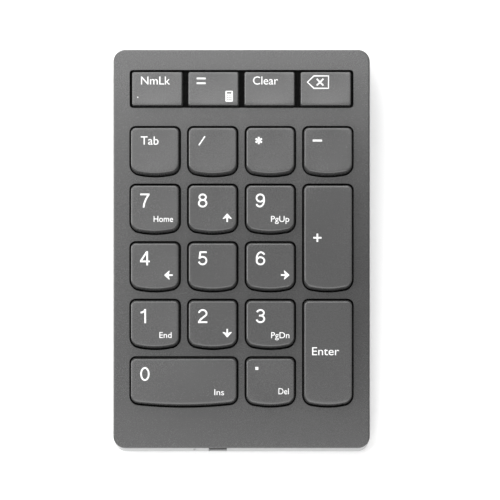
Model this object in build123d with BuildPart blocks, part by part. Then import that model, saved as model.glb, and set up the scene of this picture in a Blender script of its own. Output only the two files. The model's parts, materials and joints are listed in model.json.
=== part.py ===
from build123d import *

import math
import os

# Wireless numeric keypad: a wedge-shaped case, a deck of scissor keys, a battery and a radio board.
#
# Millimetres, +Z up. The origin is the middle of the footprint on the desk; +Y runs to the far edge of
# the pad and +X to the right-hand column. The deck leans towards the user by TILT. Pieces that belong to
# the deck are drawn on the DECK plane, and pieces that lie along the base are drawn square to the desk.

# ---- driving dimensions -----------------------------------------------------------------------
PITCH = 19.05  # standard full-size key spacing, both ways
DECK_WIDTH = 85.0
DECK_LENGTH = 132.0
DECK_CORNER = 4.0
TILT = 4.0  # lean of the deck, degrees
DECK_HEIGHT = 11.6  # height of the deck's middle above the desk
DECK_SHIFT = 0.131  # puts the footprint's middle on the origin
DECK_PLATE = 1.5
CASE_WALL = 1.6
RIM_DEPTH = 2.6  # the top cover's outer wall, down to the parting line
CHIN = 1.65  # how far the lower shell's front edge stands out past the deck
CHIN_DEPTH = 5.0  # where the chin is fullest, below the deck surface
BASE_CLEARANCE = 0.8  # underside above the desk
FLOOR = 1.6  # thickness of the lower shell's floor
EDGE_ROUND = 0.5

# key wells and caps
RIB = 2.0  # web of the deck between two wells
WELL_CORNER = 2.1
WELL_FRONT_CORNER = 2.7
SMILE = 1.37  # rise of a single key's curved front edge
WIDE_SMILE = 1.14
CAP_GAP = 0.5
CAP_RISE = 2.2  # rim of the cap above the deck
CAP_SKIRT = 0.9  # bottom of the cap below the deck
CAP_SIDE_DRAFT = 0.18
CAP_REAR_DRAFT = 0.31
CAP_FRONT_DRAFT = 0.98
CAP_ROUND = 0.4
CAP_DISH = 0.25  # kept free under the face, for its shallow dish
CAP_WALL = 1.0
CAP_ROOF = 1.1
FUNCTION_PITCH = 18.52
FUNCTION_CAP = (17.0, 11.34)
FUNCTION_WELL = (74.1, 12.5)
FUNCTION_CORNER = 1.1
FUNCTION_CAP_CORNER = 0.6
FUNCTION_DRAFT = 0.25

# switch stack, as depths below the deck surface
MEMBRANE_TOP = 3.0
SHEET = 0.1
SPACER = 0.05
PLATE = 0.5
LEVER_LENGTH = 9.6  # between the lever's two pin axes
LEVER_LIFT = 2.7  # height between those axes with the key up
LEVER_THICK = 0.8
LEVER_MIDDLE = 1.15  # depth of the crossing point
LEVER_CORNER = 0.5
PIN_RADIUS = 0.3
PIN_PLAY = 0.03
OUTER_LEVER_WIDTH = 8.8
INNER_LEVER_WIDTH = 6.9
DOME_BASE = 4.8

# ---- planes -----------------------------------------------------------------------------------
lean = math.radians(TILT)
DECK = Plane(
    origin=(0, DECK_SHIFT, DECK_HEIGHT),
    x_dir=(1, 0, 0),
    z_dir=(0, -math.sin(lean), math.cos(lean)),
)
DECK_UP = Axis((0, 0, 0), DECK.z_dir)
UNDERSIDE = Plane.XY.offset(BASE_CLEARANCE)
FLOOR_TOP = BASE_CLEARANCE + FLOOR
PLATE_TOP = MEMBRANE_TOP + 2 * SHEET + SPACER


def below(depth):
    """The plane that lies a depth under the deck surface."""
    return DECK.offset(-depth)


def save(piece, name):
    piece.part.label = name
    export_step(piece.part, f"parts/{name}.step")


# ---- key layout on the deck -------------------------------------------------------------------
SINGLE = PITCH - RIB
DOUBLE = 2 * PITCH - RIB
COLUMNS = [(n - 1.5) * PITCH for n in range(4)]
TOP_ROW = 32.18  # middle of the row under the function row
ROWS = [TOP_ROW - n * PITCH for n in range(5)]
FUNCTION_ROW = 52.9
FUNCTION_WELL_Y = 52.98
FUNCTION_COLUMNS = [(n - 1.5) * FUNCTION_PITCH for n in range(4)]


class Key:
    """One key's place on the deck, the size of its well and the turn of its scissor."""

    def __init__(self, name, x, y, width=SINGLE, height=SINGLE, smile=SMILE):
        self.name = name
        self.x = x
        self.y = y
        self.width = width
        self.height = height
        self.smile = smile
        self.turn = 90 if width > height else 0

    def spot(self):
        return Location((self.x, self.y, 0), (0, 0, self.turn))


KEYS = [
    Key(name, x, ROWS[0])
    for name, x in zip(("tab", "divide", "multiply", "minus"), COLUMNS)
]
for row, names in ((1, "789"), (2, "456"), (3, "123")):
    KEYS += [Key(name, x, ROWS[row]) for name, x in zip(names, COLUMNS)]
KEYS += [
    Key("plus", COLUMNS[3], (ROWS[1] + ROWS[2]) / 2, height=DOUBLE),
    Key("enter", COLUMNS[3], (ROWS[3] + ROWS[4]) / 2, height=DOUBLE),
    Key("0", (COLUMNS[0] + COLUMNS[1]) / 2, ROWS[4], width=DOUBLE, smile=WIDE_SMILE),
    Key("decimal", COLUMNS[2], ROWS[4]),
]
FUNCTION_KEYS = list(
    zip(("num_lock", "equals", "clear", "backspace"), FUNCTION_COLUMNS)
)
LENS_SPOT = (FUNCTION_COLUMNS[0] - 6.4, FUNCTION_ROW - 2.9)
LENS_RADIUS = 0.25
LENS_PLAY = 0.02
CHIP_LED = (0.8, 0.5, 0.4)
SIDE_LED = (1.6, 0.8, 0.7)


def smile_outline(left, right, front, rear, smile, corner, front_corner):
    """A key outline: straight sides and rear edge, and a front edge that bows towards the user."""
    middle = (left + right) / 2
    with BuildSketch(Plane.XY) as outline:
        with BuildLine():
            side = Line((right, front + smile), (right, rear))
            rear_edge = Line(side @ 1, (left, rear))
            other = Line(rear_edge @ 1, (left, front + smile))
            ThreePointArc(other @ 1, (middle, front), side @ 0)
        make_face()
        rear_corners = outline.vertices().group_by(Axis.Y)[-1]
        front_corners = outline.vertices().group_by(Axis.Y)[0]
        fillet(rear_corners, corner)
        fillet(front_corners, front_corner)
    return outline.sketch


def well_outline(key, inset=0.0):
    """The well of a key on the deck, drawn smaller all round by inset."""
    half_w = key.width / 2 - inset
    half_h = key.height / 2 - inset
    return smile_outline(
        key.x - half_w,
        key.x + half_w,
        key.y - half_h,
        key.y + half_h,
        key.smile,
        WELL_CORNER - inset,
        WELL_FRONT_CORNER - inset,
    )


def face_outline(key):
    """The top face of a cap, drawn in from the skirt by the drafts."""
    half_w = key.width / 2 - CAP_GAP - CAP_SIDE_DRAFT
    front = key.y - key.height / 2 + CAP_GAP + CAP_FRONT_DRAFT
    rear = key.y + key.height / 2 - CAP_GAP - CAP_REAR_DRAFT
    return smile_outline(
        key.x - half_w,
        key.x + half_w,
        front,
        rear,
        key.smile,
        WELL_CORNER - CAP_GAP,
        WELL_FRONT_CORNER - CAP_GAP,
    )


def deck_outline(inset=0.0, chin=0.0):
    """The case outline. The chin stretches it towards the user."""
    with BuildSketch(Plane.XY) as outline:
        with Locations((0, -chin / 2)):
            RectangleRounded(
                DECK_WIDTH - 2 * inset,
                DECK_LENGTH + chin - 2 * inset,
                DECK_CORNER - inset,
            )
    return outline.sketch


def lever_spots():
    """Middle and turn of every scissor. Those of keys wider than long lie across the deck."""
    spots = [key.spot() for key in KEYS]
    spots += [Location((x, FUNCTION_ROW, 0), (0, 0, 90)) for _, x in FUNCTION_KEYS]
    return spots


# the long caps' levelling wires lie in the deck frame like this, turned for the wide cap
WIRE_SPOTS = {key.name: key.spot() for key in KEYS if max(key.width, key.height) > SINGLE}
WIRE_RADIUS = 0.4
WIRE_PIVOT = 0.8  # from the key's middle to the pivot ends
WIRE_BAR = 5.6  # from the key's middle to the long bar under the cap
WIRE_REACH = 13.0  # half of the long bar
WIRE_END = 12.0
WIRE_LOW = 2.5  # depth of the pivot ends
WIRE_HIGH = -0.2  # depth of the long bar with the key up

os.makedirs("parts", exist_ok=True)

# ---- clearances -------------------------------------------------------------------------------
SCREW_PLAY = 0.15  # round a case screw in the lower shell
PRESS_FIT = 0.05  # round a screw or a light pipe that is pressed or glued in
SLIDE_FIT = 0.1
OPENING_PLAY = 0.4  # across the charging socket's opening and the holes round the hooks

# ---- screws and feet --------------------------------------------------------------------------
CASE_SCREW_SPOTS = [(-36.0, -60.0), (8.0, -60.0), (36.0, -60.0), (-36.0, 62.3), (36.0, 62.3)]
CASE_BOSS_RADIUS = 1.9
CASE_BOSS_END = 4.0  # depth of the top cover's bosses
SHELL_BOSS_RADIUS = 2.9
SCREW_SEAT = 5.2  # depth of the step under a case screw's head
SCREW_RADIUS = 0.95
SCREW_LENGTH = 3.4  # shank above the head's seat
HEAD_RADIUS = 1.8
HEAD_HEIGHT = 1.2
PLATE_SCREW_SPOTS = [
    (x, y) for x in (-38.9, 38.9) for y in (-50.0, -22.5, 3.6, 30.0, 56.5)
]
PLATE_BOSS_RADIUS = 1.4
PLATE_SCREW_RADIUS = 0.6
PLATE_HEAD_RADIUS = 1.2
PLATE_HEAD_HEIGHT = 0.6
PLATE_SCREW_LENGTH = 1.9
FOOT_SPOTS = [(x, y) for x in (-32.0, 32.0) for y in (-51.0, 52.0)]
FOOT_RADIUS = 5.5
FOOT_RECESS = 0.7
FOOT_ROUND = 0.3
UNDER_CHAMFER = 0.6

# ---- battery and boards, square to the desk ---------------------------------------------------
BATTERY = (34.0, 46.0, 3.6)
BATTERY_Y = 5.0
TAPE = 0.3  # adhesive foam under the battery
BAY_GAP = 0.4
BAY = (BATTERY[0] + 2 * BAY_GAP, BATTERY[1] + 2 * BAY_GAP)
RIB_THICK = 1.0
BAY_HEIGHT = 2.5
LEAD_SLOT = 4.0  # gap in the bay's wall for the leads
LEAD_RADIUS = 0.45
LEAD_PITCH = 1.5
BOARD = (48.0, 30.0)
BOARD_THICK = 1.0
BOARD_CORNER = 0.5
BOARD_Z = 6.0
BOARD_FRONT = 34.0
BOARD_POST_RADIUS = 1.5
BOARD_SCREW_RADIUS = 0.6
BOARD_SCREW_LENGTH = 2.4
BOARD_POSTS = [(x, y) for x in (-21.0, 21.0) for y in (38.5, 60.5)]
SOCKET = (8.94, 3.26, 7.35)
SOCKET_RECESS = 0.5
SOCKET_SHELL = 0.33
SOCKET_DEPTH = 6.2
SOCKET_TONGUE = (6.69, 0.7)
SOCKET_TONGUE_REACH = 5.0
SWITCH_X = -7.91
SWITCH_DEPTH = 3.9  # below the deck surface, at the front edge
SWITCH_WINDOW = (6.1, 2.5)
WINDOW_CORNER = 0.5
SWITCH_TRAVEL = 1.2  # each way from the middle position
KNOB = (2.4, 1.3)
STATUS_X = -15.7
STATUS_RADIUS = 0.4
SWITCH_BOARD = (21.5, 5.8)
SWITCH_BOARD_X = -13.25
SWITCH_BOARD_Z = 4.05
SWITCH_BOARD_THICK = 0.8
SWITCH_POST_RADIUS = 0.9


def desk_y(deck_y, depth):
    """How far along the desk a point of the deck lies, some depth under the surface."""
    return DECK.from_local_coords((0, deck_y, -depth)).Y


REAR_INSIDE = desk_y(DECK_LENGTH / 2 - CASE_WALL, 7.6)
REAR_OUTSIDE = desk_y(DECK_LENGTH / 2, 7.6)
FRONT_INSIDE = desk_y(CASE_WALL - DECK_LENGTH / 2, SWITCH_DEPTH)
SWITCH_BOARD_Y = FRONT_INSIDE + 0.5 + SWITCH_BOARD[1] / 2
SWITCH_BOARD_POSTS = [
    (x, SWITCH_BOARD_Y + 1.8) for x in (SWITCH_BOARD_X - 9.6, -13.6, SWITCH_BOARD_X + 9.6)
]
SOCKET_FACE = Plane(
    origin=(0, REAR_OUTSIDE, BOARD_Z + BOARD_THICK + SOCKET[1] / 2),
    x_dir=(-1, 0, 0),
    z_dir=(0, 1, 0),
)
SWITCH_FACE = Plane(
    origin=DECK.from_local_coords((0, -DECK_LENGTH / 2, -SWITCH_DEPTH)),
    x_dir=(1, 0, 0),
    z_dir=-DECK.y_dir,
)


# ---- top cover: deck plate, key wells, rim and bosses -----------------------------------------
with BuildPart() as top_cover:
    with BuildSketch(below(RIM_DEPTH)):
        add(deck_outline())
    extrude(amount=RIM_DEPTH)
    top_rim = top_cover.faces().sort_by(Axis.Z)[-1].edges()
    fillet(top_rim, EDGE_ROUND)
    with BuildSketch(below(RIM_DEPTH)):
        add(deck_outline(inset=CASE_WALL))
    extrude(amount=RIM_DEPTH - DECK_PLATE, mode=Mode.SUBTRACT)
    with BuildSketch(below(CASE_BOSS_END)):
        with Locations(*CASE_SCREW_SPOTS):
            Circle(CASE_BOSS_RADIUS)
    extrude(amount=CASE_BOSS_END - DECK_PLATE)
    with BuildSketch(below(PLATE_TOP)):
        with Locations(*PLATE_SCREW_SPOTS):
            Circle(PLATE_BOSS_RADIUS)
    extrude(amount=PLATE_TOP - DECK_PLATE)
    for key in KEYS:
        with BuildSketch(DECK):
            add(well_outline(key))
        extrude(amount=-DECK_PLATE, mode=Mode.SUBTRACT)
    with BuildSketch(DECK):
        with Locations((0, FUNCTION_WELL_Y)):
            RectangleRounded(*FUNCTION_WELL, FUNCTION_CORNER)
    extrude(amount=-DECK_PLATE, mode=Mode.SUBTRACT)
    with BuildSketch(below(CASE_BOSS_END)):
        with Locations(*CASE_SCREW_SPOTS):
            Circle(SCREW_RADIUS)
    extrude(amount=CASE_BOSS_END - DECK_PLATE, mode=Mode.SUBTRACT)
    with BuildSketch(below(PLATE_TOP)):
        with Locations(*PLATE_SCREW_SPOTS):
            Circle(PLATE_SCREW_RADIUS)
    extrude(amount=PLATE_TOP - DECK_PLATE, mode=Mode.SUBTRACT)
save(top_cover, "top_cover")

# ---- lower shell: tub with a chin, floor ribs, screw wells and openings -----------------------
DEEP = 20.0  # past the underside everywhere

with BuildPart() as shell_room:
    with BuildSketch(below(RIM_DEPTH)):
        add(deck_outline(inset=CASE_WALL))
    extrude(amount=-DEEP)
    split(bisect_by=Plane.XY.offset(FLOOR_TOP), keep=Keep.TOP)

with BuildPart() as shell_bosses:
    with BuildSketch(below(CASE_BOSS_END)):
        with Locations(*CASE_SCREW_SPOTS):
            Circle(SHELL_BOSS_RADIUS)
    extrude(amount=-DEEP)
    with BuildSketch(below(RIM_DEPTH)):
        add(deck_outline(inset=CASE_WALL / 2))
    extrude(amount=-DEEP, mode=Mode.INTERSECT)
    split(bisect_by=Plane.XY.offset(FLOOR_TOP - FLOOR / 2), keep=Keep.TOP)

with BuildPart() as bottom_cover:
    with BuildSketch(below(RIM_DEPTH)):
        add(deck_outline())
    with BuildSketch(below(CHIN_DEPTH)):
        add(deck_outline(chin=CHIN))
    loft()
    with BuildSketch(below(CHIN_DEPTH)):
        add(deck_outline(chin=CHIN))
    extrude(amount=-DEEP)
    split(bisect_by=UNDERSIDE, keep=Keep.TOP)
    under_rim = bottom_cover.faces().sort_by(Axis.Z)[0].edges()
    chamfer(under_rim, UNDER_CHAMFER)
    add(shell_room.part, mode=Mode.SUBTRACT)
    add(shell_bosses.part)
    # battery bay and board posts
    with BuildSketch(Plane.XY.offset(FLOOR_TOP)):
        with Locations((0, BATTERY_Y)):
            Rectangle(BAY[0] + 2 * RIB_THICK, BAY[1] + 2 * RIB_THICK)
            Rectangle(*BAY, mode=Mode.SUBTRACT)
        with Locations((0, BATTERY_Y + (BAY[1] + RIB_THICK) / 2)):
            Rectangle(LEAD_SLOT, 2 * RIB_THICK, mode=Mode.SUBTRACT)
    extrude(amount=BAY_HEIGHT)
    with BuildSketch(Plane.XY.offset(FLOOR_TOP)):
        with Locations(*BOARD_POSTS):
            Circle(BOARD_POST_RADIUS)
    extrude(amount=BOARD_Z - FLOOR_TOP)
    with BuildSketch(Plane.XY.offset(FLOOR_TOP)):
        with Locations(*SWITCH_BOARD_POSTS):
            Circle(SWITCH_POST_RADIUS)
    extrude(amount=SWITCH_BOARD_Z - FLOOR_TOP)
    # screw wells from the underside, up to the seats
    with BuildSketch(below(SCREW_SEAT)):
        with Locations(*CASE_SCREW_SPOTS):
            Circle(HEAD_RADIUS + SCREW_PLAY)
    extrude(amount=-DEEP, mode=Mode.SUBTRACT)
    with BuildSketch(below(SCREW_SEAT)):
        with Locations(*CASE_SCREW_SPOTS):
            Circle(SCREW_RADIUS + SCREW_PLAY)
    extrude(amount=SCREW_SEAT - CASE_BOSS_END, mode=Mode.SUBTRACT)
    # foot recesses
    with BuildSketch(UNDERSIDE):
        with Locations(*FOOT_SPOTS):
            Circle(FOOT_RADIUS + SLIDE_FIT)
    extrude(amount=FOOT_RECESS, mode=Mode.SUBTRACT)
    # charging socket opening through the rear wall
    with BuildSketch(SOCKET_FACE):
        SlotOverall(SOCKET[0] + OPENING_PLAY, SOCKET[1] + OPENING_PLAY)
    extrude(amount=2 * CASE_WALL, both=True, mode=Mode.SUBTRACT)
    # slide switch window and status light hole through the front wall
    with BuildSketch(SWITCH_FACE.offset(-CASE_WALL - SLIDE_FIT)):
        with Locations((SWITCH_X, 0)):
            RectangleRounded(*SWITCH_WINDOW, WINDOW_CORNER)
        with Locations((STATUS_X, 0)):
            Circle(STATUS_RADIUS + PRESS_FIT)
    extrude(amount=3 * CASE_WALL, mode=Mode.SUBTRACT)
    with BuildSketch(Plane.XY.offset(BOARD_Z)):
        with Locations(*BOARD_POSTS):
            Circle(BOARD_SCREW_RADIUS + PRESS_FIT)
    extrude(amount=-BOARD_SCREW_LENGTH, mode=Mode.SUBTRACT)
save(bottom_cover, "bottom_cover")

# ---- base plate with hooks, and the contact sheets --------------------------------------------
SHEET_WIDTH = 74.2
SHEET_FRONT = -54.0
SHEET_REAR = 59.6
SHEET_CORNER = 1.0
PLATE_MARGIN = 2.6  # the plate past the sheets, at the sides
PLATE_LIP = 0.3  # and at the front and rear
PLATE_CORNER = 1.5
HOOK = (0.8, 0.5)
HOOK_TOP = 1.9
HOOK_REACH = LEVER_LENGTH / 2 + 0.9
TAIL = (12.0, 44.0)  # width of the tail and where it leaves the sheets
TAIL_X = -14.0
TAIL_DROP = 6.5
TAIL_SLOT = 1.4
CONTACT_RADIUS = 1.8  # hole in the spacer, where the two sheets meet
OUTER_LEVER_ARM = OUTER_LEVER_WIDTH / 2 - 0.5
INNER_LEVER_ARM = INNER_LEVER_WIDTH / 2 - 1.3


def hook_spots():
    """The two hooks at each end of every scissor, in deck coordinates."""
    spots = []
    for spot in lever_spots():
        for reach, arm in ((HOOK_REACH, INNER_LEVER_ARM), (-HOOK_REACH, OUTER_LEVER_ARM)):
            for side in (-arm, arm):
                spots.append(spot * Location((side, reach, 0)))
    for spot in WIRE_SPOTS.values():
        for end in (-WIRE_END, WIRE_END):
            spots.append(spot * Location((WIRE_PIVOT - 0.9, end, 0), (0, 0, 90)))
    return spots


def sheet_outline(holes):
    with BuildSketch(Plane.XY) as outline:
        with Locations((0, (SHEET_FRONT + SHEET_REAR) / 2)):
            RectangleRounded(SHEET_WIDTH, SHEET_REAR - SHEET_FRONT, SHEET_CORNER)
        with Locations(*hook_spots()):
            Rectangle(*holes, mode=Mode.SUBTRACT)
    return outline.sketch


sheet = sheet_outline((HOOK[0] + OPENING_PLAY, HOOK[1] + OPENING_PLAY))

with BuildPart() as membrane_top:
    with BuildSketch(below(MEMBRANE_TOP + SHEET)):
        add(sheet)
    extrude(amount=SHEET)
save(membrane_top, "membrane_top")

with BuildPart() as membrane_spacer:
    with BuildSketch(below(MEMBRANE_TOP + SHEET + SPACER)):
        add(sheet)
        with Locations(*lever_spots()):
            Circle(CONTACT_RADIUS, mode=Mode.SUBTRACT)
    extrude(amount=SPACER)
save(membrane_spacer, "membrane_spacer")

with BuildPart() as membrane_bottom:
    with BuildSketch(below(PLATE_TOP)):
        add(sheet)
    extrude(amount=SHEET)
    with BuildSketch(below(PLATE_TOP)):
        with Locations((TAIL_X, TAIL[1])):
            Rectangle(TAIL[0], SHEET)
    extrude(amount=-(TAIL_DROP - PLATE_TOP))
save(membrane_bottom, "membrane_bottom")

with BuildPart() as base_plate:
    with BuildSketch(below(PLATE_TOP + PLATE)):
        with Locations((0, (SHEET_FRONT + SHEET_REAR) / 2)):
            RectangleRounded(
                SHEET_WIDTH + 2 * PLATE_MARGIN,
                SHEET_REAR - SHEET_FRONT + 2 * PLATE_LIP,
                PLATE_CORNER,
            )
        with Locations(*PLATE_SCREW_SPOTS):
            Circle(PLATE_SCREW_RADIUS + SLIDE_FIT, mode=Mode.SUBTRACT)
        with Locations((TAIL_X, TAIL[1])):
            Rectangle(TAIL[0] + TAIL_SLOT, TAIL_SLOT, mode=Mode.SUBTRACT)
    extrude(amount=PLATE)
    with BuildSketch(below(PLATE_TOP)):
        with Locations(*hook_spots()):
            Rectangle(*HOOK)
    extrude(amount=PLATE_TOP - HOOK_TOP)
save(base_plate, "base_plate")

# ---- domes and scissor levers, one set per key ------------------------------------------------
DOME_HEIGHT = 2.95
DOME_TOP_RADIUS = 1.3
DOME_WALL = 0.3
DOME_PLUNGER = 1.2  # thickness of the solid middle at the top

with BuildPart() as dome:
    with BuildSketch(Plane.XZ):
        with BuildLine():
            Polyline(
                (DOME_BASE / 2 - DOME_WALL, 0),
                (DOME_BASE / 2, 0),
                (DOME_BASE / 2, DOME_WALL),
                (DOME_TOP_RADIUS + DOME_WALL / 3, DOME_HEIGHT - DOME_PLUNGER + DOME_WALL),
                (DOME_TOP_RADIUS, DOME_HEIGHT),
                (0, DOME_HEIGHT),
                (0, DOME_HEIGHT - DOME_PLUNGER),
                (DOME_TOP_RADIUS - DOME_WALL, DOME_HEIGHT - DOME_PLUNGER),
                close=True,
            )
        make_face()
    revolve(axis=Axis.Z)

with BuildPart() as rubber_domes:
    with Locations(below(MEMBRANE_TOP)):
        with Locations(*lever_spots()):
            add(dome.part)
save(rubber_domes, "rubber_domes")


def lever(width, window, pins, swing):
    """A scissor lever lying along Y on its crossing point, swung up by the angle swing."""
    arm = (width - window) / 2
    with BuildPart() as blank:
        with BuildSketch(Plane.XY.offset(-LEVER_THICK / 2)):
            RectangleRounded(width, LEVER_LENGTH + LEVER_THICK, LEVER_CORNER)
            Rectangle(window, LEVER_LENGTH - LEVER_THICK, mode=Mode.SUBTRACT)
        extrude(amount=LEVER_THICK)
        with BuildSketch(Plane.YZ):
            Circle(PIN_RADIUS if pins else PIN_RADIUS + PIN_PLAY)
        if pins:
            extrude(amount=width / 2 + 0.5 * arm, both=True)
            with BuildSketch(Plane.YZ):
                Circle(PIN_RADIUS + PIN_PLAY)
            extrude(amount=window / 2, both=True, mode=Mode.SUBTRACT)
        else:
            extrude(amount=width, both=True, mode=Mode.SUBTRACT)
    return Rot(X=swing) * blank.part


SWING = math.degrees(math.asin(LEVER_LIFT / LEVER_LENGTH))
outer_lever = lever(OUTER_LEVER_WIDTH, INNER_LEVER_WIDTH + 0.1, False, SWING)
inner_lever = lever(INNER_LEVER_WIDTH, DOME_BASE + 0.3, True, -SWING)

with BuildPart() as scissor_outer_frames:
    with Locations(below(LEVER_MIDDLE)):
        with Locations(*lever_spots()):
            add(outer_lever)
save(scissor_outer_frames, "scissor_outer_frames")

with BuildPart() as scissor_inner_frames:
    with Locations(below(LEVER_MIDDLE)):
        with Locations(*lever_spots()):
            add(inner_lever)
save(scissor_inner_frames, "scissor_inner_frames")

# ---- keycaps ----------------------------------------------------------------------------------
CLIP = (0.8, 0.6)
CLIP_END = 0.35  # bottom of the clips, below the deck surface
STUD_RADIUS = 1.2
ROOF_UNDER = CAP_RISE - CAP_DISH - CAP_ROOF


def cap_shell(skirt, face, room):
    """A cap from its skirt outline, face outline and the outline of the room inside."""
    with BuildPart() as shell:
        with BuildSketch(below(CAP_SKIRT)):
            add(skirt)
        with BuildSketch(below(-CAP_RISE)):
            add(face)
        loft()
        rim = shell.faces().sort_by(DECK_UP)[-1].edges()
        fillet(rim, CAP_ROUND)
        with BuildSketch(below(CAP_SKIRT)):
            add(room)
        extrude(amount=CAP_SKIRT + ROOF_UNDER, mode=Mode.SUBTRACT)
    return shell.part


def save_cap(name, shell, spot):
    """Adds the dome stud and the lever clips under the cap and writes it."""
    clips = []
    for reach, arm in ((HOOK_REACH, OUTER_LEVER_ARM), (-HOOK_REACH, INNER_LEVER_ARM)):
        for side in (-arm, arm):
            clips.append(spot * Location((side, reach, 0)))
    with BuildPart() as cap:
        add(shell)
        with BuildSketch(below(-ROOF_UNDER)):
            with Locations(*clips):
                Rectangle(*CLIP)
        extrude(amount=-(ROOF_UNDER + CLIP_END))
        with BuildSketch(below(-ROOF_UNDER)):
            with Locations(spot):
                Circle(STUD_RADIUS)
        extrude(amount=-(ROOF_UNDER - 0.1))
        if name == "num_lock":
            with BuildSketch(below(-CAP_RISE)):
                with Locations(LENS_SPOT):
                    Circle(LENS_RADIUS + LENS_PLAY)
            extrude(amount=-CAP_RISE, mode=Mode.SUBTRACT)
    save(cap, f"keycap_{name}")


for key in KEYS:
    shell = cap_shell(
        well_outline(key, CAP_GAP),
        face_outline(key),
        well_outline(key, CAP_GAP + CAP_WALL),
    )
    save_cap(key.name, shell, key.spot())

for name, x in FUNCTION_KEYS:
    outlines = []
    for inset in (0, FUNCTION_DRAFT, CAP_WALL):
        with BuildSketch(Plane.XY) as outline:
            with Locations((x, FUNCTION_ROW)):
                RectangleRounded(
                    FUNCTION_CAP[0] - 2 * inset,
                    FUNCTION_CAP[1] - 2 * inset,
                    FUNCTION_CAP_CORNER,
                )
        outlines.append(outline.sketch)
    shell = cap_shell(*outlines)
    save_cap(name, shell, Location((x, FUNCTION_ROW, 0), (0, 0, 90)))

LENS_TOP = CAP_RISE - 0.1
LENS_FLANGE = 0.3
with BuildPart() as num_lock_lens:
    with BuildSketch(below(-ROOF_UNDER)):
        with Locations(LENS_SPOT):
            Circle(LENS_RADIUS)
    extrude(amount=LENS_TOP - ROOF_UNDER)
    with BuildSketch(below(-ROOF_UNDER)):
        with Locations(LENS_SPOT):
            Circle(2 * LENS_RADIUS)
    extrude(amount=-LENS_FLANGE)
save(num_lock_lens, "num_lock_lens")

with BuildPart() as num_lock_led:
    with BuildSketch(below(MEMBRANE_TOP)):
        with Locations(LENS_SPOT):
            Rectangle(CHIP_LED[0], CHIP_LED[1])
    extrude(amount=CHIP_LED[2])
save(num_lock_led, "num_lock_led")

# ---- levelling wires of the long caps ---------------------------------------------------------
with BuildPart() as wire:
    with BuildLine() as wire_path:
        FilletPolyline(
            (WIRE_PIVOT, -WIRE_END + 1.2, -WIRE_LOW),
            (WIRE_PIVOT, -WIRE_REACH, -WIRE_LOW),
            (WIRE_BAR, -WIRE_REACH, -WIRE_HIGH),
            (WIRE_BAR, WIRE_REACH, -WIRE_HIGH),
            (WIRE_PIVOT, WIRE_REACH, -WIRE_LOW),
            (WIRE_PIVOT, WIRE_END - 1.2, -WIRE_LOW),
            radius=0.9,
        )
    with BuildSketch(Plane(wire_path.line @ 0, z_dir=wire_path.line % 0)):
        Circle(WIRE_RADIUS)
    sweep(path=wire_path.line)

for name, spot in WIRE_SPOTS.items():
    with BuildPart() as stabilizer_wire:
        with Locations(DECK):
            with Locations(spot):
                add(wire.part)
    save(stabilizer_wire, f"stabilizer_wire_{name}")

# ---- main board and what stands on it ---------------------------------------------------------
BOARD_TOP = Plane.XY.offset(BOARD_Z + BOARD_THICK)
BOARD_Y = BOARD_FRONT + BOARD[1] / 2


def chip(name, x, y, width, length, height):
    """A plain component standing on the main board."""
    with BuildPart() as component:
        with BuildSketch(BOARD_TOP):
            with Locations((x, y)):
                Rectangle(width, length)
        extrude(amount=height)
        chamfer(component.faces().sort_by(Axis.Z)[-1].edges(), 0.1)
    save(component, name)


with BuildPart() as main_board:
    with BuildSketch(Plane.XY.offset(BOARD_Z)):
        with Locations((0, BOARD_Y)):
            RectangleRounded(*BOARD, 2 * BOARD_CORNER)
        with Locations(*BOARD_POSTS):
            Circle(BOARD_SCREW_RADIUS + SLIDE_FIT, mode=Mode.SUBTRACT)
    extrude(amount=BOARD_THICK)
save(main_board, "main_board")

chip("controller_chip", -8.0, 52.5, 6.0, 6.0, 0.9)
chip("crystal", -14.5, 52.5, 3.2, 2.5, 0.8)
chip("radio_shield", 13.0, 50.0, 14.0, 12.0, 1.6)

BATTERY_CONNECTOR = (5.0, 3.6, 2.4)
BATTERY_CONNECTOR_FRONT = BOARD_FRONT + 0.4
chip(
    "battery_connector",
    0,
    BATTERY_CONNECTOR_FRONT + BATTERY_CONNECTOR[1] / 2,
    *BATTERY_CONNECTOR,
)

CONNECTOR = (14.0, 2.4, 1.8)
CONNECTOR_Y = desk_y(TAIL[1], TAIL_DROP - 0.3)
with BuildPart() as membrane_connector:
    with BuildSketch(BOARD_TOP):
        with Locations((TAIL_X, CONNECTOR_Y)):
            Rectangle(CONNECTOR[0], CONNECTOR[1])
    extrude(amount=CONNECTOR[2])
    with BuildSketch(BOARD_TOP.offset(CONNECTOR[2])):
        with Locations((TAIL_X, CONNECTOR_Y)):
            Rectangle(TAIL[0] + 0.4, 0.5)
    extrude(amount=-1.2, mode=Mode.SUBTRACT)
save(membrane_connector, "membrane_connector")

with BuildPart() as usb_c_receptacle:
    with BuildSketch(SOCKET_FACE.offset(-SOCKET_RECESS)):
        SlotOverall(SOCKET[0], SOCKET[1])
    extrude(amount=-SOCKET[2])
    with BuildSketch(SOCKET_FACE.offset(-SOCKET_RECESS)):
        SlotOverall(SOCKET[0] - 2 * SOCKET_SHELL, SOCKET[1] - 2 * SOCKET_SHELL)
    extrude(amount=-SOCKET_DEPTH, mode=Mode.SUBTRACT)
    with BuildSketch(SOCKET_FACE.offset(-SOCKET_RECESS - SOCKET_DEPTH)):
        Rectangle(*SOCKET_TONGUE)
    extrude(amount=SOCKET_TONGUE_REACH)
save(usb_c_receptacle, "usb_c_receptacle")

# ---- battery, its tape and its leads ----------------------------------------------------------
with BuildPart() as battery_tape:
    with BuildSketch(Plane.XY.offset(FLOOR_TOP)):
        with Locations((0, BATTERY_Y)):
            Rectangle(BATTERY[0] - 4, BATTERY[1] - 4)
    extrude(amount=TAPE)
save(battery_tape, "battery_tape")

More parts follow.
